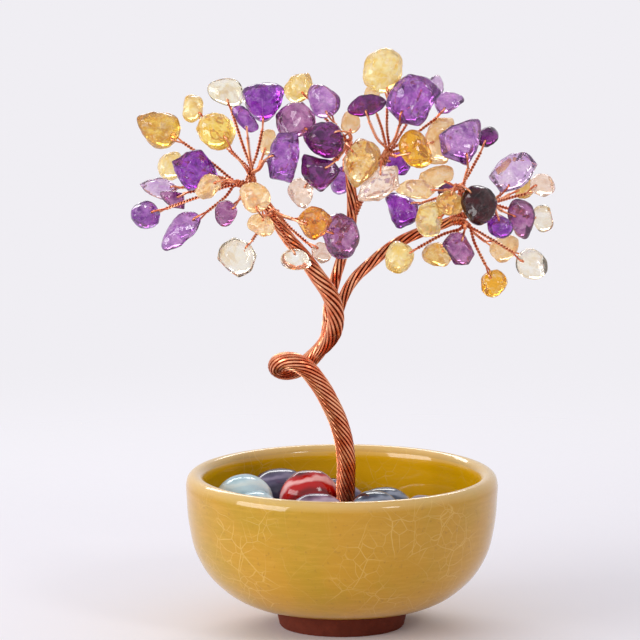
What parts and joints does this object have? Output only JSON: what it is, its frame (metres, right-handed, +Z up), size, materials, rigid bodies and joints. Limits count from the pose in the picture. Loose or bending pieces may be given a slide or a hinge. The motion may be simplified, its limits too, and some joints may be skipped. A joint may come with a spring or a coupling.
{
  "type": "gemstone tree ornament",
  "caption": "Copper wire tree with a looped rope trunk and drilled amethyst and citrine chips, set in a glazed bowl of polished pebbles.",
  "frame": {"origin": "centre of the underside of the bowl's foot ring, on the table", "axes": "+Z up; +X to the right and +Y away from someone who faces the tree as pictured"},
  "size_m": [0.1146, 0.0846, 0.1591],
  "materials": {
    "glaze": "glossy ochre crackle glaze over a terracotta body, bare at the foot",
    "plaster": "rough cast",
    "copper": "bare bright copper wire, duller in the grooves",
    "amethyst": "tumbled, polished",
    "citrine": "tumbled, polished",
    "opal": "polished, milky",
    "grey_agate": "polished, banded",
    "lilac_agate": "polished, banded",
    "blue_agate": "polished, banded",
    "carnelian": "polished, banded with pink and white"
  },
  "bodies": {
    "base": {"bowl": "glaze", "bed": "plaster", "trunk": "copper", "pebble_opal_pale": "opal", "pebble_agate_grey": "grey_agate", "pebble_carnelian_banded": "carnelian", "pebble_agate_lilac": "lilac_agate", "pebble_opal_milky": "opal", "pebble_jasper_grey": "grey_agate", "pebble_agate_smoke": "grey_agate", "pebble_quartz_grey": "grey_agate", "pebble_agate_blue": "blue_agate", "pebble_agate_sand": "grey_agate", "pebble_slate_banded": "blue_agate", "pebble_jasper_small": "grey_agate", "pebble_quartz_lilac": "lilac_agate", "pebble_quartz_rose": "lilac_agate", "pebble_agate_cloud": "grey_agate", "pebble_opal_small": "opal", "pebble_jasper_red": "carnelian"},
    "left_bough": {"left_limb": "copper", "left_side_wires": "copper", "left_side_amethyst": "amethyst", "left_side_citrine": "citrine", "left_top_wires": "copper", "left_top_amethyst": "amethyst", "left_top_citrine": "citrine", "left_inner_wires": "copper", "left_inner_amethyst": "amethyst", "left_inner_citrine": "citrine"},
    "centre_bough": {"centre_limb": "copper", "centre_left_wires": "copper", "centre_left_amethyst": "amethyst", "centre_left_citrine": "citrine", "centre_right_wires": "copper", "centre_right_amethyst": "amethyst", "centre_right_citrine": "citrine"},
    "right_bough": {"right_limb": "copper", "right_top_wires": "copper", "right_top_amethyst": "amethyst", "right_top_citrine": "citrine", "right_far_wires": "copper", "right_far_amethyst": "amethyst", "right_far_citrine": "citrine", "right_low_wires": "copper", "right_low_amethyst": "amethyst", "right_low_citrine": "citrine"}
  },
  "joints": [
    {"name": "left_limb_bend", "type": "hinge", "parent": "base", "child": "left_bough", "pos_m": [-0.0029, -0.0014, 0.0895], "axis": [0.7071, -0.7071, 0], "range_deg": [0, 12]},
    {"name": "centre_limb_bend", "type": "hinge", "parent": "base", "child": "centre_bough", "pos_m": [-0.0011, 0.0031, 0.0895], "axis": [-1, 0, 0], "range_deg": [0, 12]},
    {"name": "right_limb_bend", "type": "hinge", "parent": "base", "child": "right_bough", "pos_m": [0.0015, 0.0005, 0.0895], "axis": [0, 1, 0], "range_deg": [0, 12]}
  ]
}
